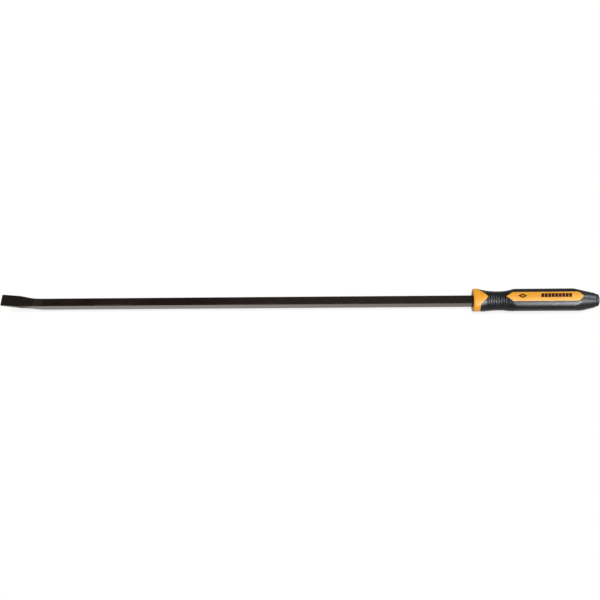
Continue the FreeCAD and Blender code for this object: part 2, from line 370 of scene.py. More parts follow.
def forged(point, station):
    """The point moved a little, as hammered and rolled steel is uneven."""
    strength = mix(FORGE_ROUGHNESS, SHANK_ROUGHNESS, ease(station, FLARE_STARTS_AT, 2 * FLARE_STARTS_AT))
    strength *= ease(station, 0.0, LAND_LENGTH)
    return point + noise.noise_vector(point / FORGE_GRAIN) * strength


def make_bar(material):
    """The bar from its tip to the bottom of the collar's mouth."""
    noise.seed_set(FORGE_SEED)
    shank_end = FRONT_X - TIP_X
    seat_end = shank_end + MOUTH_DEPTH + SEAT_OVERLAP
    stations = spread(FIRST_STATION, HEEL_STARTS_AT, TIP_STEP)
    stations += spread(HEEL_STARTS_AT, shank_end, SHANK_STEP)[1:]
    sections = list(END_INSETS)
    sections += [(station, 0.0) for station in stations]
    sections += [(shank_end + SEAT_INSET, SEAT_INSET), (seat_end, SEAT_INSET)]
    rings = []
    edges = []
    along = []
    for station, inset in sections:
        ring = []
        for (y, z), edge in bar_section(station, inset):
            point = forged(Vector((TIP_X + station, y, AXIS_Z + z)), station)
            ring.append(point)
            edges.append(edge)
            along.append(station)
        rings.append(ring)
    vertices = []
    faces = []
    grid_mesh(vertices, faces, rings)
    attributes = (("edge", edges), ("station", along))
    return make_piece("pry_bar_forging", vertices, faces, "black_steel", material, "pry_bar",
                      attributes=attributes)


# ---- handle surface -------------------------------------------------------------------------------

def waist_shape(station):
    """Mean radius and lobe height of the grip at a station."""
    rows = WAIST_SECTIONS
    if station >= rows[-1][0]:
        return rows[-1][1:]
    k = max(i for i in range(len(rows) - 1) if rows[i][0] <= station or i == 0)
    before = rows[max(k - 1, 0)]
    after = rows[min(k + 2, len(rows) - 1)]
    here = rows[k]
    there = rows[k + 1]
    span = there[0] - here[0]
    t = (station - here[0]) / span
    shape = []
    for column in (1, 2):
        leave = (there[column] - before[column]) / (there[0] - before[0]) * span
        arrive = (after[column] - here[column]) / (after[0] - here[0]) * span
        if k + 2 == len(rows):
            arrive = 0.0
        a = 2 * t ** 3 - 3 * t ** 2 + 1
        b = t ** 3 - 2 * t ** 2 + t
        c = 3 * t ** 2 - 2 * t ** 3
        d = t ** 3 - t ** 2
        shape.append(a * here[column] + b * leave + c * there[column] + d * arrive)
    return shape


def lobed(angle, radius, lobe):
    """Point (side, up) of the three-lobed outline whose normal has this angle."""
    reach = radius - lobe * math.cos(LOBES * angle)
    slide = LOBES * lobe * math.sin(LOBES * angle)
    side = reach * math.sin(angle) + slide * math.cos(angle)
    up = reach * math.cos(angle) - slide * math.sin(angle)
    return side, up


def smooth_least(a, b, soft):
    """The lesser of two lengths, blended where they are within soft of each other."""
    t = min(max(0.5 + 0.5 * (b - a) / soft, 0.0), 1.0)
    return mix(b, a, t) - soft * t * (1.0 - t)


def bowed_half_width(station, start, half, end, bulge):
    """Half width, and how fast it changes, on an arc from half at start to nothing at end."""
    length = end - start
    chord = math.hypot(length, half)
    radius = (chord * chord / 4 + bulge * bulge) / (2 * bulge)
    back = radius - bulge
    centre_x = length / 2 - back * half / chord
    centre_y = half / 2 - back * length / chord
    x = min(station - start, length) - centre_x
    rise = math.sqrt(max(radius * radius - x * x, 1e-12))
    return centre_y + rise, -x / rise


def window_half_width(station):
    """Half width of the window, and how fast it changes along the handle."""
    if station <= WINDOW_FULL_AT:
        slope = WINDOW_HALF_WIDTH / (WINDOW_FULL_AT - WINDOW_POINT_AT)
        return slope * (station - WINDOW_POINT_AT), slope
    if station <= WINDOW_NARROWS_AT:
        return WINDOW_HALF_WIDTH, 0.0
    return bowed_half_width(
        station, WINDOW_NARROWS_AT, WINDOW_HALF_WIDTH, WINDOW_ENDS_AT, WINDOW_NOSE_BULGE)


def window_distance(station, side):
    """Distance in plan outside the window's edge. It is negative inside."""
    if station < WINDOW_POINT_AT:
        slope = window_half_width(WINDOW_POINT_AT)[1]
        lean = math.hypot(1.0, slope)
        along = WINDOW_POINT_AT - station
        if abs(side) * slope < along:
            return math.hypot(along, side)
        return (abs(side) + along * slope) / lean
    if station > WINDOW_ENDS_AT:
        return math.hypot(station - WINDOW_ENDS_AT, side)
    half, slope = window_half_width(station)
    return (abs(side) - half) / math.hypot(1.0, slope)


def tongue_half_width(station):
    """Half width of the tongue, and how fast it changes along the handle."""
    return bowed_half_width(
        max(station, COLLAR_LENGTH), COLLAR_LENGTH, TONGUE_HALF_WIDTH, TONGUE_TIP_AT, TONGUE_BULGE)


def tongue_distance(station, side):
    """Distance in plan outside the tongue's edge. It is negative inside."""
    half, slope = tongue_half_width(min(station, TONGUE_TIP_AT))
    if station > TONGUE_TIP_AT:
        return math.hypot(station - TONGUE_TIP_AT, side)
    return (abs(side) - half) / math.hypot(1.0, slope)


def skin_point(station, angle, sink=0.0):
    """Point on the handle's smooth outer surface, sunk towards the axis."""
    radius, lobe = waist_shape(station)
    side, up = lobed(angle, radius, lobe)
    reach = math.hypot(side, up)
    taper = CONE_END_RADIUS + (GRIP_ENDS_AT - station) * CONE_SLOPE
    full = smooth_least(reach, taper, CONE_BLEND)
    scale = (full - sink) / reach
    return Vector((FRONT_X + station, -side * scale, AXIS_Z + up * scale))


def round_point(station, angle, reach):
    """Point at a distance from the handle's axis."""
    return Vector((FRONT_X + station, -reach * math.sin(angle), AXIS_Z + reach * math.cos(angle)))


def angle_at_side(station, side):
    """Angle at which the surface is this far to the side of the handle's upper middle line."""
    low = 0.0
    high = SEARCH_LIMIT
    for _ in range(SEARCH_STEPS):
        middle = (low + high) / 2
        if -skin_point(station, middle).y < side:
            low = middle
        else:
            high = middle
    return (low + high) / 2


# ---- grip sleeve ----------------------------------------------------------------------------------

def groove_sink(station, side, up):
    """Depth of the finger rings, which fade out beside the window and the tongue."""
    first = FIRST_GROOVE_AT - GROOVE_PITCH / 2
    turns = (station - first) / GROOVE_PITCH
    if not 0.0 <= turns <= GROOVE_COUNT:
        return 0.0
    wave = (1.0 - math.cos(2 * math.pi * turns)) / 2
    depth = GROOVE_DEPTH * ease(wave, *GROOVE_WALL)
    if up > 0.0:
        depth *= ease(window_distance(station, side), *RINGS_BY_WINDOW)
        depth *= ease(tongue_distance(station, side), *RINGS_BY_TONGUE)
    return depth


def waist_sink(station, side, up):
    """The ribbed waist lies a little below the smooth body, whose edge goes round the window's point."""
    near_window = 0.0
    if up > 0.0:
        near_window = ease(window_distance(station, side), *BORDER_EDGE)
    past_edge = ease(station, BODY_EDGE_AT - BODY_EDGE_HALF, BODY_EDGE_AT + BODY_EDGE_HALF)
    on_body = max(near_window, past_edge)
    return BODY_STEP * (1.0 - on_body) * ease(station, *BODY_STEP_GROWS)


def lip_sink(distance):
    """Quarter-round lip at the sleeve's openings."""
    inside = LIP_RADIUS - min(max(distance, 0.0), LIP_RADIUS)
    return LIP_RADIUS - math.sqrt(LIP_RADIUS ** 2 - inside ** 2)


def opening_half_width(station):
    """Half width of the sleeve's opening at a station, and its slope."""
    if station < TONGUE_TIP_AT:
        return tongue_half_width(station)
    if WINDOW_POINT_AT < station < WINDOW_ENDS_AT:
        return window_half_width(station)
    return 0.0, 0.0


def parting_rise(angle):
    """Height of the fine line that the mould's halves leave along both sides."""
    off = (abs(math.pi - angle) - math.pi / 2) * BODY_RADIUS / PARTING_WIDTH
    return PARTING_RISE * math.exp(-off * off)


def sleeve_point(station, angle):
    """Point on the sleeve's outer surface with its rings, step, lips and parting lines."""
    plain = skin_point(station, angle)
    side = -plain.y
    up = plain.z - AXIS_Z
    sink = groove_sink(station, side, up) + waist_sink(station, side, up)
    if up > 0.0:
        sink += lip_sink(min(window_distance(station, side), tongue_distance(station, side)))
    sink += lip_sink(GRIP_ENDS_AT - station)
    return skin_point(station, angle, sink - parting_rise(angle))


def sleeve_stations():
    """Stations along the sleeve, closest together where its shape changes most."""
    waist = spread(COLLAR_LENGTH, BODY_EDGE_AT - EDGE_ROWS_BEFORE, WAIST_ROW_STEP)
    edge = spread(waist[-1], WINDOW_FULL_AT, EDGE_ROW_STEP)[1:]
    body = spread(WINDOW_FULL_AT, WINDOW_NARROWS_AT - NOSE_ROWS_BEFORE, BODY_ROW_STEP)[1:]
    nose = spread(body[-1], WINDOW_ENDS_AT + NOSE_ROWS_AFTER, NOSE_ROW_STEP)[1:]
    rear = spread(nose[-1], GRIP_ENDS_AT - 2 * LIP_RADIUS, REAR_ROW_STEP)[1:]
    end = spread(rear[-1], GRIP_ENDS_AT, END_ROW_STEP)[1:]
    return waist + edge + body + nose + rear + end


def parting_angles(radius):
    """Angles across the parting line on the -Y side of a shape with this radius."""
    return [math.pi / 2 + PARTING_WIDTH / radius * row for row in PARTING_ROWS]


def side_angles(start):
    """Angles from start round the underside to the same place on the other side."""
    line = parting_angles(BODY_RADIUS)
    upper = spread(start, line[0], (line[0] - start) / SLEEVE_UPPER_STEPS)
    lower = spread(line[-1], math.pi, (math.pi - line[-1]) / SLEEVE_LOWER_STEPS)
    half = upper[1:] + line[1:] + lower[1:]
    return half + [2 * math.pi - angle for angle in reversed(half[:-1])]


def make_sleeve(material):
    """One skin around the handle. Its seam runs along the top and opens at the tongue and the window."""
    rings = []
    grooves = []
    for station in sleeve_stations():
        half, slope = opening_half_width(station)
        lean = math.hypot(1.0, slope)
        opened = angle_at_side(station, half) if half > 0.0 else 0.0
        near = [angle_at_side(station, half + LIP_RADIUS * row * lean) for row in LIP_ROWS]
        one_side = [opened] + near
        other_side = [2 * math.pi - angle for angle in reversed(one_side)]
        angles = one_side + side_angles(near[-1]) + other_side
        outside = [sleeve_point(station, angle) for angle in angles]
        depths = []
        for point in outside:
            depths.append(groove_sink(station, -point.y, point.z - AXIS_Z) / GROOVE_DEPTH)
        start = outside[0].copy()
        finish = outside[-1].copy()
        if half > 0.0:
            start = skin_point(station, opened, LIP_RADIUS + LIP_DEPTH)
            finish = skin_point(station, -opened, LIP_RADIUS + LIP_DEPTH)
        rings.append([start] + outside + [finish])
        grooves.extend([depths[0]] + depths + [depths[-1]])
    front = [towards_axis(point, SLEEVE_FRONT_WALL) for point in rings[0]]
    back = [towards_axis(point, SLEEVE_BACK_WALL) for point in rings[-1]]
    flat = [0.0] * len(front)
    vertices = []
    faces = []
    grid_mesh(vertices, faces, [front] + rings + [back], closed=False)
    return make_piece("grip_sleeve_skin", vertices, faces, "black_rubber", material, "grip_sleeve",
                      attributes=(("groove", flat + grooves + flat),))


def towards_axis(point, distance):
    """The point moved towards the handle's axis."""
    centre = Vector((point.x, 0.0, AXIS_Z))
    return point + (centre - point).normalized() * distance


# ---- handle core ----------------------------------------------------------------------------------

def square_reach(angle, half, corner):
    """Distance from the axis to a rounded square's outline in this direction."""
    across = abs(math.sin(angle))
    up = abs(math.cos(angle))
    flat = half / max(across, up)
    core = half - corner
    if min(across, up) * flat <= core:
        return flat
    along = core * (across + up)
    return along + math.sqrt(along * along - 2.0 * core * core + corner * corner)


def collar_angles():
    """Angles round the collar, with extra ones where the mould's parting lines are."""
    line = parting_angles(COLLAR_RADIUS)
    upper = spread(0.0, line[0], line[0] / COLLAR_HALF_STEPS)
    lower = spread(line[-1], math.pi, (math.pi - line[-1]) / COLLAR_HALF_STEPS)
    half = upper + line[1:] + lower[1:]
    return half + [2 * math.pi - angle for angle in reversed(half[1:-1])]


def collar_rings():
    """Rings from the bottom of the square mouth, over the collar, to its rear face."""
    angles = collar_angles()
    rings = []

    def mouth_ring(station, half, corner):
        ring = []
        for angle in angles:
            reach = square_reach(angle, half, corner)
            ring.append(round_point(station, angle, reach))
        rings.append(ring)

    def lobed_ring(station, inset):
        ring = []
        for angle in angles:
            radius = COLLAR_RADIUS - inset + parting_rise(angle)
            side, up = lobed(angle, radius, COLLAR_LOBE)
            ring.append(Vector((FRONT_X + station, -side, AXIS_Z + up)))
        rings.append(ring)

    mouth = MOUTH_SIDE / 2
    mouth_ring(MOUTH_DEPTH, SHANK_SIDE / 2 - MOUTH_FLOOR_LAP, SHANK_CORNER)
    mouth_ring(MOUTH_DEPTH, mouth, MOUTH_CORNER)
    mouth_ring(MOUTH_RIM, mouth, MOUTH_CORNER)
    mouth_ring(0.3 * MOUTH_RIM, mouth + 0.3 * MOUTH_RIM, MOUTH_CORNER)
    mouth_ring(0.0, mouth + MOUTH_RIM, MOUTH_CORNER)
    lobed_ring(0.0, COLLAR_EDGE + COLLAR_FACE_LAP)
    turns = [math.pi / 2 * i / EDGE_STEPS for i in range(EDGE_STEPS + 1)]
    for turn in turns:
        lobed_ring(COLLAR_EDGE * (1 - math.sin(turn)), COLLAR_EDGE * (1 - math.cos(turn)))
    rear = COLLAR_EDGE / 4
    for station in spread(COLLAR_EDGE, COLLAR_LENGTH - rear, COLLAR_STEP)[1:]:
        lobed_ring(station, 0.0)
    for turn in turns[1:]:
        lobed_ring(COLLAR_LENGTH - rear + rear * math.sin(turn), rear * (1 - math.cos(turn)))
    lobed_ring(COLLAR_LENGTH, COLLAR_BACK_WALL)
    return rings


def raised_rings(stations, half_width_at, sink, lap):
    """Rings of a thin slab that follows the handle's surface inside a pointed outline."""
    rings = []
    for station in stations:
        half = max(half_width_at(station)[0] + lap, LEAST_HALF_WIDTH)
        reach = angle_at_side(station, half)
        top = []
        for i in range(SLAB_STEPS + 1):
            top.append(skin_point(station, mix(-reach, reach, i / SLAB_STEPS), sink))
        bottom = []
        for i in range(SLAB_UNDER_STEPS + 1):
            angle = mix(reach, -reach, i / SLAB_UNDER_STEPS)
            bottom.append(skin_point(station, angle, sink + SLAB_THICKNESS))
        rings.append(top + bottom)
    return rings


def make_core(material):
    """The collar, its tongue and the window's floor."""
    vertices = []
    faces = []
    grid_mesh(vertices, faces, collar_rings())
    tongue = spread(COLLAR_LENGTH - TONGUE_ROOT, TONGUE_TIP_AT, SLAB_END_STEP)
    grid_mesh(vertices, faces, raised_rings(tongue, tongue_half_width, TONGUE_SINK, 0.0))
    window = spread(WINDOW_POINT_AT - SLAB_LAP, WINDOW_FULL_AT, SLAB_POINT_STEP)
    window += spread(WINDOW_FULL_AT, WINDOW_NARROWS_AT, BODY_ROW_STEP)[1:]
    window += spread(WINDOW_NARROWS_AT, WINDOW_ENDS_AT + SLAB_LAP, SLAB_END_STEP)[1:]
    grid_mesh(vertices, faces, raised_rings(window, window_half_width, WINDOW_RECESS, SLAB_LAP))
    return make_piece("handle_core_moulding", vertices, faces, "orange_plastic", material, "handle_core")


# ---- printed marks --------------------------------------------------------------------------------

def window_point(station, side, sink):
    """Point above a place in the window's plan, sunk below the handle's smooth surface."""
    angle = math.copysign(angle_at_side(station, abs(side)), side)
    return skin_point(station, angle, sink)


def printed_patch(vertices, faces, corners):
    """Adds a thin raised patch between four plan corners, given as (station, side) in order around it."""
    shares = [i / PATCH_STEPS for i in range(PATCH_STEPS + 1)]
    rings = []
    for share in shares:
        start = [mix(corners[0][k], corners[3][k], share) for k in (0, 1)]
        finish = [mix(corners[1][k], corners[2][k], share) for k in (0, 1)]
        plan = [[mix(start[k], finish[k], across) for k in (0, 1)] for across in shares]
        top = [window_point(*place, WINDOW_RECESS - INK_RISE) for place in plan]
        bottom = [window_point(*place, WINDOW_RECESS + INK_RISE) for place in reversed(plan)]
        rings.append(top + bottom)
    grid_mesh(vertices, faces, rings)


def diamond_corners(size):
    """Corners of the diamond mark at a share of its full size."""
    length = DIAMOND_HALF_LENGTH * size
    width = DIAMOND_HALF_WIDTH * size
    middle = MARKS_OFF_CENTRE / 2
    return [
        (DIAMOND_AT - length, middle),
        (DIAMOND_AT, middle + width),
        (DIAMOND_AT + length, middle),
        (DIAMOND_AT, middle - width),
    ]


def make_marks(material):
    """Plain printed pattern in the window."""
    vertices = []
    faces = []
    outer = diamond_corners(1.0)
    inner = diamond_corners(DIAMOND_HOLE)
    for k in range(4):
        after = (k + 1) % 4
        printed_patch(vertices, faces, [outer[k], outer[after], inner[after], inner[k]])
    printed_patch(vertices, faces, diamond_corners(DIAMOND_DOT))
    for k in range(BAR_COUNT):
        start = FIRST_BAR_AT + k * BAR_PITCH
        near = MARKS_OFF_CENTRE + BAR_HALF_HEIGHT
        far = MARKS_OFF_CENTRE - BAR_HALF_HEIGHT
        printed_patch(vertices, faces, [
            (start, near),
            (start + BAR_WIDTH, near),
            (start + BAR_WIDTH + BAR_SLANT, far),
            (start + BAR_SLANT, far),
        ])
    return make_piece("window_print", vertices, faces, "black_rubber", material)


# ---- strike cap -----------------------------------------------------------------------------------

def cap_profile():
    """Station and radius along the cap, from inside the handle to the middle of the striking face."""
    profile = [
        (GRIP_ENDS_AT - CAP_SINK, CAP_RADIUS * CAP_NECK_SHARE),
        (CAP_STARTS_AT, CAP_RADIUS * CAP_NECK_SHARE),
        (CAP_STARTS_AT, CAP_RADIUS - CAP_CHAMFER),
        (CAP_STARTS_AT + 0.3 * CAP_CHAMFER, CAP_RADIUS - 0.3 * CAP_CHAMFER),
        (CAP_STARTS_AT + CAP_CHAMFER, CAP_RADIUS),
        (BUTT_AT - CAP_EDGE_ROUNDING - CAP_ROW_BEFORE_EDGE, CAP_RADIUS),
    ]
    for i in range(CAP_EDGE_STEPS + 1):
        turn = math.pi / 2 * i / CAP_EDGE_STEPS
        station = BUTT_AT - CAP_EDGE_ROUNDING * (1 - math.sin(turn))
        profile.append((station, CAP_RADIUS - CAP_EDGE_ROUNDING * (1 - math.cos(turn))))
    flat = CAP_RADIUS - CAP_EDGE_ROUNDING
    return profile + [(BUTT_AT, flat * share) for share in CAP_FACE_SHARES]


def make_cap(material):
    """The cap, turned from its profile."""
    angles = [2 * math.pi * i / CAP_POINTS for i in range(CAP_POINTS)]
    rings = []
    for station, radius in cap_profile():
        rings.append([round_point(station, angle, radius) for angle in angles])
    vertices = []
    faces = []
    grid_mesh(vertices, faces, rings)
    return make_piece("strike_cap_head", vertices, faces, "cap_steel", material, "strike_cap")


# ---- materials ------------------------------------------------------------------------------------

def new_material(name):
    """Material with an empty Principled shader, and its node tree."""
    material = bpy.data.materials.new(name)
    material.use_nodes = True
    return material, material.node_tree


def shader_of(tree, **numbers):
    """The tree's Principled shader with plain numbers set on its sockets."""
    shader = tree.nodes["Principled BSDF"]
    for name, value in numbers.items():
        shader.inputs[name.replace("_", " ")].default_value = value
    return shader


def node(tree, kind, inputs, **settings):
    """New node. Inputs that are sockets are linked, and the others are set."""
    made = tree.nodes.new("ShaderNode" + kind)
    for name, value in settings.items():
        setattr(made, name, value)
    for key, value in inputs.items():
        if isinstance(value, bpy.types.NodeSocket):
            tree.links.new(value, made.inputs[key])
        else:
            made.inputs[key].default_value = value
    return made


def grain(tree, size, detail=3.0, roughness=0.5, stretch=(1.0, 1.0, 1.0)):
    """Noise from 0 to 1 with patches of a real size in metres, stretched along any axis."""
    place = node(tree, "TexCoord", {}).outputs["Object"]
    scaled = node(tree, "Mapping", {"Vector": place, "Scale": [1.0 / (size * s) for s in stretch]})
    inputs = {"Vector": scaled.outputs["Vector"], "Scale": 1.0, "Detail": detail, "Roughness": roughness}
    return node(tree, "TexNoise", inputs).outputs["Fac"]


def cells(tree, size, feature="F1"):
    """Distance pattern of small cells of a real size in metres."""
    inputs = {"Vector": node(tree, "TexCoord", {}).outputs["Object"], "Scale": 1.0 / size}
    return node(tree, "TexVoronoi", inputs, feature=feature).outputs["Distance"]


def calculate(tree, operation, *values):
    """Math node's result."""
    return node(tree, "Math", dict(enumerate(values)), operation=operation).outputs[0]


def remap(tree, value, from_low, from_high, to_low=0.0, to_high=1.0):
    """The value moved from one range to another, held inside it."""
    inputs = {
        "Value": value,
        "From Min": from_low,
        "From Max": from_high,
        "To Min": to_low,
        "To Max": to_high,
    }
    return node(tree, "MapRange", inputs).outputs["Result"]


def blend_colours(tree, share, first, second):
    """Colour between two colours or sockets."""
    pair = []
    for colour in (first, second):
        pair.append(colour if isinstance(colour, bpy.types.NodeSocket) else (*colour, 1.0))
    made = node(tree, "Mix", {0: share, 6: pair[0], 7: pair[1]}, data_type="RGBA")
    return made.outputs[2]


def attribute(tree, name):
    """Number stored on the mesh."""
    return node(tree, "Attribute", {}, attribute_name=name).outputs["Fac"]


def position(tree):
    """The X of a point, and its distance from the handle's axis."""
    place = node(tree, "SeparateXYZ", {0: node(tree, "TexCoord", {}).outputs["Object"]})
    side = place.outputs["Y"]
    up = calculate(tree, "SUBTRACT", place.outputs["Z"], AXIS_Z)
    squares = [calculate(tree, "MULTIPLY", length, length) for length in (side, up)]
    return place.outputs["X"], calculate(tree, "SQRT", calculate(tree, "ADD", *squares))


def bump(tree, height, depth, below=None):
    """Surface relief of a real depth in metres, over any coarser relief."""
    inputs = {"Height": height, "Distance": depth, "Strength": 1.0}
    if below is not None:
        inputs["Normal"] = below
    return node(tree, "Bump", inputs).outputs["Normal"]


def connect(tree, shader, **sockets):
    """Links sockets to the shader's inputs."""
    for name, socket in sockets.items():
        tree.links.new(socket, shader.inputs[name.replace("_", " ")])


def black_steel_material():
    """Oiled black oxide over mill scale, darker and duller at the tip and rubbed to bare steel on the
    corners, with a painted shadow in front of the collar and painted shade along the shank towards the
    handle.
    """
    material, tree = new_material("black_steel")
    shader = shader_of(tree, IOR=2.6, Specular_Tint=(1.0, 0.94, 0.87, 1.0))
    patches = grain(tree, 26.0 * MM, 4.0, 0.6, (3.0, 1.0, 1.0))
    scale = grain(tree, 2.2 * MM, 4.0, 0.65)
    streaks = grain(tree, 0.5 * MM, 2.0, 0.5, (26.0, 1.0, 1.0))
    fine = grain(tree, 0.28 * MM, 2.0, 0.6)
    station = attribute(tree, "station")

    cloudy = remap(tree, patches, 0.35, 0.65)
    oxide = blend_colours(tree, cloudy, (0.006, 0.0030, 0.0020), (0.013, 0.0075, 0.0048))
    oxide = blend_colours(tree, remap(tree, scale, 0.55, 0.75, 0.0, 0.5), oxide, (0.004, 0.0034, 0.003))
    oxide = blend_colours(tree, remap(tree, streaks, 0.58, 0.8, 0.0, 0.3), oxide, (0.032, 0.026, 0.022))
    corner = remap(tree, attribute(tree, "edge"), 0.3, 1.0)
    rubbed = calculate(tree, "MULTIPLY", corner, remap(tree, patches, 0.50, 0.70))
    rubbed = calculate(tree, "MULTIPLY", rubbed, remap(tree, scale, 0.42, 0.62, 0.0, 0.6))
    tip_end = remap(tree, station, *SCUFFED_END)
    scuffed = calculate(tree, "MULTIPLY", tip_end, remap(tree, streaks, 0.50, 0.62, 0.0, 0.4))
    bare = calculate(tree, "MAXIMUM", rubbed, scuffed)

    place = node(tree, "SeparateXYZ", {0: node(tree, "TexCoord", {}).outputs["Object"]})
    on_top = remap(tree, place.outputs["Z"], *(AXIS_Z + height for height in UPPER_FACE))
    top_of_tip = calculate(tree, "MULTIPLY", on_top, remap(tree, station, *DARK_TOP_OF_TIP))
    at_tip = calculate(tree, "MAXIMUM", top_of_tip, remap(tree, station, *DARK_TIP))
    # Painted shadow of the collar: the last few millimetres of bar before the collar are darker and duller
    collar_shadow_mask = remap(tree, station, *(FRONT_X - TIP_X - before for before in PAINTED_COLLAR_SHADOW))
    # Painted shade: darker towards the handle, in place of the dimmer reflection along the shank
    shade_to_handle_mask = remap(tree, station, PAINTED_SHADE_FROM, FRONT_X - TIP_X, 0.0, 0.75)
    # Darker, duller steel at the tip, together with the painted shadow by the collar and the painted shade
    # towards the handle
    darker_tip_and_painted_shade = calculate(tree, "MAXIMUM", at_tip, calculate(tree, "MAXIMUM", collar_shadow_mask, shade_to_handle_mask))
    dull_and_shaded_steel = blend_colours(tree, remap(tree, scale, 0.35, 0.65), (0.040, 0.031, 0.024), (0.080, 0.068, 0.058))
    colour = blend_colours(tree, darker_tip_and_painted_shade, oxide, dull_and_shaded_steel)
    colour = blend_colours(tree, bare, colour, (0.12, 0.112, 0.104))
    metallic = calculate(tree, "MAXIMUM", calculate(tree, "MULTIPLY", darker_tip_and_painted_shade, 0.80), bare)
    roughness = remap(tree, scale, 0.3, 0.7, 0.22, 0.32)
    roughness = calculate(tree, "ADD", roughness, remap(tree, patches, 0.3, 0.7, -0.04, 0.05))
    roughness = calculate(tree, "ADD", roughness, calculate(tree, "MULTIPLY", at_tip, 0.16))

    relief = bump(tree, patches, 0.25 * MM)
    relief = bump(tree, scale, 0.05 * MM, relief)
    relief = bump(tree, streaks, 0.006 * MM, relief)
    relief = bump(tree, fine, 0.004 * MM, relief)
    connect(tree, shader, Base_Color=colour, Roughness=roughness, Metallic=metallic, Normal=relief)
    return material


def black_rubber_material():
    """Soft black moulding with a fine pebbled texture, polished on the finger rings, with painted shade at
    the bottoms of their grooves.
    """
    material, tree = new_material("black_rubber")
    shader = shader_of(tree, IOR=1.28)
    patches = grain(tree, 24.0 * MM, 4.0, 0.6)
    smears = grain(tree, 3.0 * MM, 4.0, 0.6, (3.0, 1.0, 1.0))
    pebbles = cells(tree, 0.7 * MM)
    fine = grain(tree, 0.22 * MM, 2.0, 0.6)

    cloudy = remap(tree, patches, 0.35, 0.65)
    colour = blend_colours(tree, cloudy, (0.0040, 0.0034, 0.0034), (0.0075, 0.0062, 0.0060))
    dusty = remap(tree, patches, 0.4, 0.7, 0.0, 0.45)
    dust = calculate(tree, "MULTIPLY", remap(tree, smears, 0.55, 0.8), dusty)
    colour = blend_colours(tree, dust, colour, (0.024, 0.021, 0.019))
    groove = attribute(tree, "groove")
    # Painted shade: darker colour at the bottoms of the finger rings
    colour = blend_colours(tree, remap(tree, groove, 0.3, 1.0, 0.0, 0.55), colour, (0.0025, 0.002, 0.002))
    roughness = remap(tree, smears, 0.3, 0.7, 0.36, 0.46)
    roughness = calculate(tree, "ADD", roughness, remap(tree, groove, 0.0, 1.0, 0.0, 0.12))

    relief = bump(tree, patches, 0.12 * MM)
    relief = bump(tree, pebbles, 0.018 * MM, relief)
    relief = bump(tree, fine, 0.006 * MM, relief)
    connect(tree, shader, Base_Color=colour, Roughness=roughness, Normal=relief)
    return material


def orange_plastic_material():
    """Semi-gloss moulded plastic with a fine spark-eroded texture, flow marks and light scuffs, and painted
    shade on the collar's front face round the mouth.
    """
    material, tree = new_material("orange_plastic")
    shader = shader_of(tree, IOR=1.33)
    flow = grain(tree, 34.0 * MM, 3.0, 0.5, (2.5, 1.0, 1.0))
    scuffs = grain(tree, 1.1 * MM, 3.0, 0.6, (9.0, 1.0, 1.0))
    specks = grain(tree, 0.9 * MM, 2.0, 0.6)
    texture = cells(tree, 0.42 * MM, "SMOOTH_F1")
    fine = grain(tree, 0.2 * MM, 2.0, 0.6)

    colour = blend_colours(tree, remap(tree, flow, 0.35, 0.65), (0.70, 0.305, 0.020), (0.77, 0.350, 0.026))
    marks = remap(tree, scuffs, 0.64, 0.78, 0.0, 0.30)
    colour = blend_colours(tree, marks, colour, (0.78, 0.42, 0.12))
    colour = blend_colours(tree, remap(tree, specks, 0.70, 0.82, 0.0, 0.35), colour, (0.42, 0.17, 0.03))
    along, from_axis = position(tree)
    # Painted shade: the collar's front face and the rounded edge round the mouth are darkened to a deep
    # red-brown, as in shadow
    collar_face_shade = remap(tree, along, *(FRONT_X + behind for behind in PAINTED_COLLAR_FACE_SHADE))
    near_mouth = remap(tree, from_axis, *PAINTED_COLLAR_FACE_SHADE_RADIUS, 0.25, 0.9)
    collar_face_shade = calculate(tree, "MULTIPLY", collar_face_shade, near_mouth)
    colour = blend_colours(tree, collar_face_shade, colour, (0.075, 0.010, 0.002))
    roughness = remap(tree, flow, 0.3, 0.7, 0.34, 0.42)
    roughness = calculate(tree, "ADD", roughness, calculate(tree, "MULTIPLY", marks, 0.4))

    relief = bump(tree, flow, 0.08 * MM)
    relief = bump(tree, texture, 0.012 * MM, relief)
    relief = bump(tree, fine, 0.004 * MM, relief)
    connect(tree, shader, Base_Color=colour, Roughness=roughness, Normal=relief)
    return material


def cap_steel_material():
    """Turned and blackened steel, bruised on the striking face."""
    material, tree = new_material("cap_steel")
    shader = shader_of(tree, IOR=1.26)
    along, from_axis = position(tree)
    travel = calculate(tree, "SUBTRACT", from_axis, along)
    turning = calculate(tree, "SINE", calculate(tree, "MULTIPLY", travel, 2 * math.pi / TURNING_PITCH))
    blotches = grain(tree, 5.0 * MM, 4.0, 0.65)
    dents = grain(tree, 2.4 * MM, 2.0, 0.5)
    fine = grain(tree, 0.3 * MM, 2.0, 0.6)

    cloudy = remap(tree, blotches, 0.35, 0.65)
    colour = blend_colours(tree, cloudy, (0.010, 0.008, 0.0075), (0.020, 0.017, 0.016))
    face = remap(tree, along, *(FRONT_X + BUTT_AT - before for before in WORN_CAP_FACE))
    bare = calculate(tree, "MULTIPLY", face, remap(tree, dents, 0.42, 0.62, 0.15, 0.75))
    colour = blend_colours(tree, bare, colour, (0.30, 0.285, 0.27))
    roughness = remap(tree, blotches, 0.3, 0.7, 0.44, 0.58)

    relief = bump(tree, dents, 0.16 * MM)
    relief = bump(tree, turning, 0.006 * MM, relief)
    relief = bump(tree, fine, 0.005 * MM, relief)
    connect(tree, shader, Base_Color=colour, Roughness=roughness, Metallic=bare, Normal=relief)
    return material


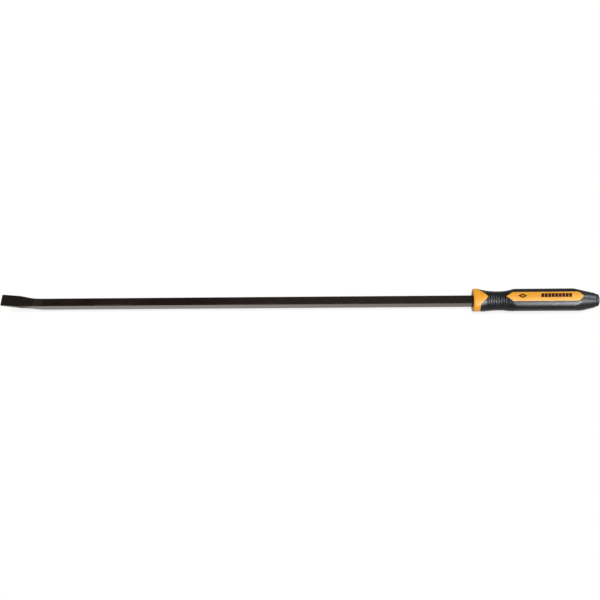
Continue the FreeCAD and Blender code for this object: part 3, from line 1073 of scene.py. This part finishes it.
def ink_material():
    """Dark printing ink, thin in places."""
    material, tree = new_material("printing_ink")
    shader = shader_of(tree, IOR=1.14)
    worn = grain(tree, 1.6 * MM, 4.0, 0.7)
    fine = grain(tree, 0.2 * MM, 2.0, 0.6)
    thin = remap(tree, worn, 0.64, 0.80, 0.0, 0.6)
    colour = blend_colours(tree, thin, (0.036, 0.004, 0.001), (0.55, 0.20, 0.02))
    roughness = remap(tree, worn, 0.3, 0.7, 0.42, 0.55)
    relief = bump(tree, fine, 0.005 * MM)
    connect(tree, shader, Base_Color=colour, Roughness=roughness, Normal=relief)
    return material


def floor_material():
    """Plain pale floor that glows a little, so that it stays white under soft light."""
    material, tree = new_material("floor")
    shader_of(tree, Base_Color=FLOOR_COLOUR, Roughness=0.9, Specular_IOR_Level=0.0,
              Emission_Color=WHITE, Emission_Strength=FLOOR_GLOW)
    return material


# ---- stage ----------------------------------------------------------------------------------------

CAMERA_DISTANCE = 2.0446
CAMERA_ALONG = 0.142
CAMERA_ELEVATION = math.radians(63.2)
CAMERA_ROLL = math.radians(0.424)
AIM_ALONG = 0.0127
AIM_ABOVE = 5.8 * MM
SENSOR_WIDTH = 36.0
IMAGE_WIDTH = 600.0
FOCAL_PIXELS = 827.0
FLOOR_HALF_SIZE = 30.0
FLOOR_COLOUR = (0.17, 0.17, 0.17, 1.0)
FLOOR_GLOW = 0.80
WHITE = (1.0, 1.0, 1.0, 1.0)
WORLD_COLOUR = (0.034, 0.030, 0.030, 1.0)
KEY_LEAN = math.radians(17.0)
KEY_POWER = 4.0
KEY_ANGLE = math.radians(30.0)
SOFTBOX_COLOUR = (0.90, 0.95, 1.0)
# Name, place, direction of the long side, power, length and width
SOFTBOXES = (
    ("front_softbox", (1.34, -0.855, 1.27), (0.78, -0.18, -0.68), 133.0, 0.86, 0.20),
    ("rear_softbox", (1.78, 0.62, 1.25), (1.0, 0.0, -0.6), 45.0, 0.7, 0.24),
    ("top_softbox", (1.12, -0.14, 1.75), (1.0, 0.0, -0.3), 18.0, 0.5, 0.5),
)


def stand(thing, place, right, up, backward):
    """Puts a camera or light at a place, looking against the backward direction."""
    bpy.context.scene.collection.objects.link(thing)
    rows = [(right[k], up[k], backward[k], place[k]) for k in range(3)]
    thing.matrix_world = Matrix(rows + [(0.0, 0.0, 0.0, 1.0)])


def make_camera():
    """Camera over the front of the tool, turned so that the tool lies nearly level in the picture."""
    centre = Vector((0.0, 0.0, AXIS_Z))
    sideways = Vector((0.0, math.sin(CAMERA_ELEVATION), math.cos(CAMERA_ELEVATION)))
    towards = Vector((0.0, -math.cos(CAMERA_ELEVATION), math.sin(CAMERA_ELEVATION)))
    place = centre + Vector((CAMERA_ALONG, 0.0, 0.0)) + towards * CAMERA_DISTANCE
    aim = centre + Vector((AIM_ALONG, 0.0, 0.0)) + sideways * AIM_ABOVE
    backward = (place - aim).normalized()
    tool = Vector((1.0, 0.0, 0.0))
    right = (tool - backward * tool.dot(backward)).normalized()
    up = backward.cross(right)
    turned = right * math.cos(CAMERA_ROLL) - up * math.sin(CAMERA_ROLL)
    up = backward.cross(turned)
    data = bpy.data.cameras.new("camera")
    data.sensor_width = SENSOR_WIDTH
    data.lens = FOCAL_PIXELS / IMAGE_WIDTH * SENSOR_WIDTH
    camera = bpy.data.objects.new("camera", data)
    stand(camera, place, turned, up, backward)
    bpy.context.scene.camera = camera


def make_floor():
    """Flat square at ground height, far larger than the picture."""
    size = FLOOR_HALF_SIZE
    corners = [(-size, -size, 0), (size, -size, 0), (size, size, 0), (-size, size, 0)]
    mesh = bpy.data.meshes.new("floor")
    mesh.from_pydata(corners, [], [(0, 1, 2, 3)])
    mesh.materials.append(floor_material())
    floor = bpy.data.objects.new("floor", mesh)
    bpy.context.scene.collection.objects.link(floor)


def make_key():
    """Large soft light from above, a little to the front. It adds no reflection of its own."""
    data = bpy.data.lights.new("key", "SUN")
    data.energy = KEY_POWER
    data.angle = KEY_ANGLE
    key = bpy.data.objects.new("key", data)
    direction = Vector((0.0, -math.sin(KEY_LEAN), math.cos(KEY_LEAN)))
    key.rotation_euler = direction.to_track_quat("Z", "Y").to_euler()
    key.visible_glossy = False
    bpy.context.scene.collection.objects.link(key)


def make_softbox(name, place, along, energy, length, width, lit):
    """Rectangular light that faces the handle, is long one way and shows only in the lit pieces' gloss."""
    data = bpy.data.lights.new(name, "AREA")
    data.energy = energy
    data.color = SOFTBOX_COLOUR
    data.shape = "RECTANGLE"
    data.size = length
    data.size_y = width
    softbox = bpy.data.objects.new(name, data)
    softbox.visible_diffuse = False
    backward = (Vector(place) - Vector((FRONT_X + BUTT_AT / 2, 0.0, AXIS_Z))).normalized()
    right = Vector(along)
    right = (right - backward * right.dot(backward)).normalized()
    stand(softbox, place, right, backward.cross(right), backward)
    receivers = bpy.data.collections.new(name + "_receivers")
    for piece in lit:
        receivers.objects.link(piece)
    softbox.light_linking.receiver_collection = receivers


def make_world():
    """Dim surroundings that look white only straight from the camera."""
    world = bpy.data.worlds.new("studio")
    world.use_nodes = True
    bpy.context.scene.world = world
    tree = world.node_tree
    tree.nodes.clear()
    seen = node(tree, "Background", {"Color": WHITE})
    dim = node(tree, "Background", {"Color": WORLD_COLOUR})
    ray = node(tree, "LightPath", {}).outputs["Is Camera Ray"]
    choose = node(tree, "MixShader", {0: ray, 1: dim.outputs[0], 2: seen.outputs[0]})
    node(tree, "OutputWorld", {"Surface": choose.outputs[0]})


make_camera()
make_floor()
make_world()
make_key()
bpy.context.scene.view_settings.view_transform = "Standard"

make_bar(black_steel_material())
handle = [
    make_sleeve(black_rubber_material()),
    make_core(orange_plastic_material()),
    make_marks(ink_material()),
    make_cap(cap_steel_material()),
]
for softbox in SOFTBOXES:
    make_softbox(*softbox, handle)
